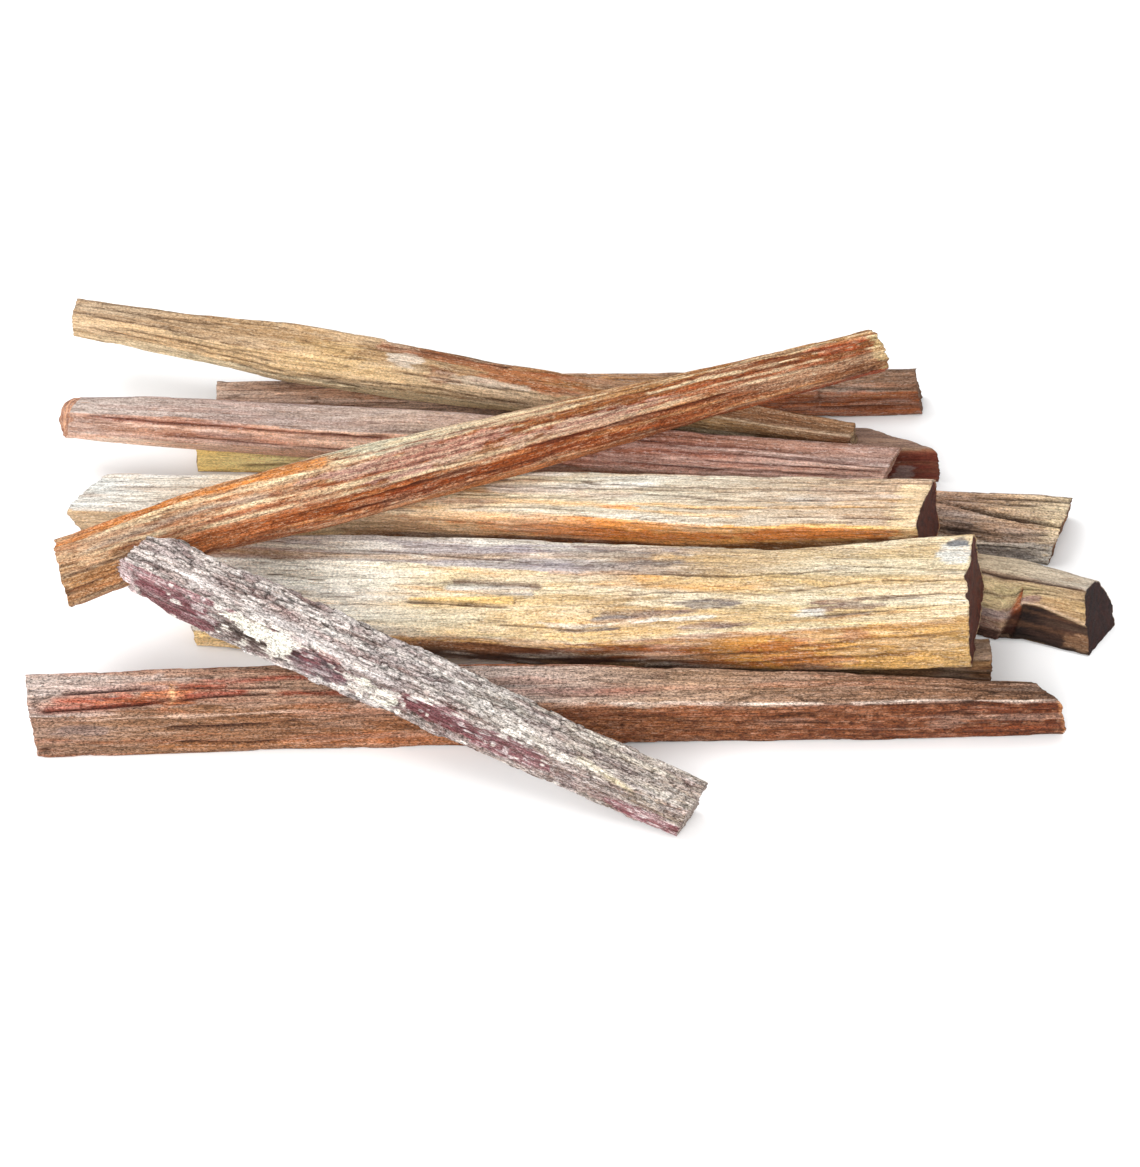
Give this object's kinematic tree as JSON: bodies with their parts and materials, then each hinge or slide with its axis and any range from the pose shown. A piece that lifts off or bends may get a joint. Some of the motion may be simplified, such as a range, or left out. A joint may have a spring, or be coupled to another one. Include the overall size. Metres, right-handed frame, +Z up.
{
  "type": "bundle of fatwood sticks",
  "caption": "Loose heap of split resinous kindling sticks lying crossed over each other on a flat surface, for starting a fire.",
  "frame": {"origin": "centre of the bottom of the heap's bounding box, on the surface that the heap lies on", "axes": "+X along the heap towards the blunt right-hand ends, +Y towards the back of the heap, +Z up"},
  "size_m": [0.2504, 0.16, 0.0405],
  "materials": {
    "red_brown_wood": "rough split wood, red-brown below and grey-pink on top",
    "dull_brown_wood": "rough split wood, dull olive-brown",
    "golden_wood": "split resinous wood, golden and cream with grey weathered patches",
    "tan_wood": "split wood, tan above, dark maroon below and at the end",
    "grey_brown_wood": "rough split wood, tan-brown and grey",
    "cream_wood": "split wood, cream on top and orange-brown in front",
    "yellow_and_red_wood": "split wood, yellow-olive at one end and dark red at the other",
    "mauve_wood": "weathered split wood, mauve-grey and pink-brown",
    "dark_brown_wood": "split wood, grey-brown above and orange-brown in front",
    "straw_wood": "split wood, straw-coloured with brown streaks",
    "orange_wood": "resinous split wood, orange and red-brown with pale ridges",
    "scaly_grey_wood": "weathered wood with scaly grey and maroon bark patches"
  },
  "bodies": {
    "root": {"front_long_stick": "red_brown_wood", "buried_wedge_stick": "dull_brown_wood", "golden_split": "golden_wood", "knobbly_short_stick": "tan_wood", "grey_wedge_stick": "grey_brown_wood", "cream_stick": "cream_wood", "yellow_red_stick": "yellow_and_red_wood", "mauve_stick": "mauve_wood", "back_brown_stick": "dark_brown_wood", "straw_stick": "straw_wood", "orange_crossing_stick": "orange_wood", "scaly_grey_stick": "scaly_grey_wood"}
  },
  "joints": []
}
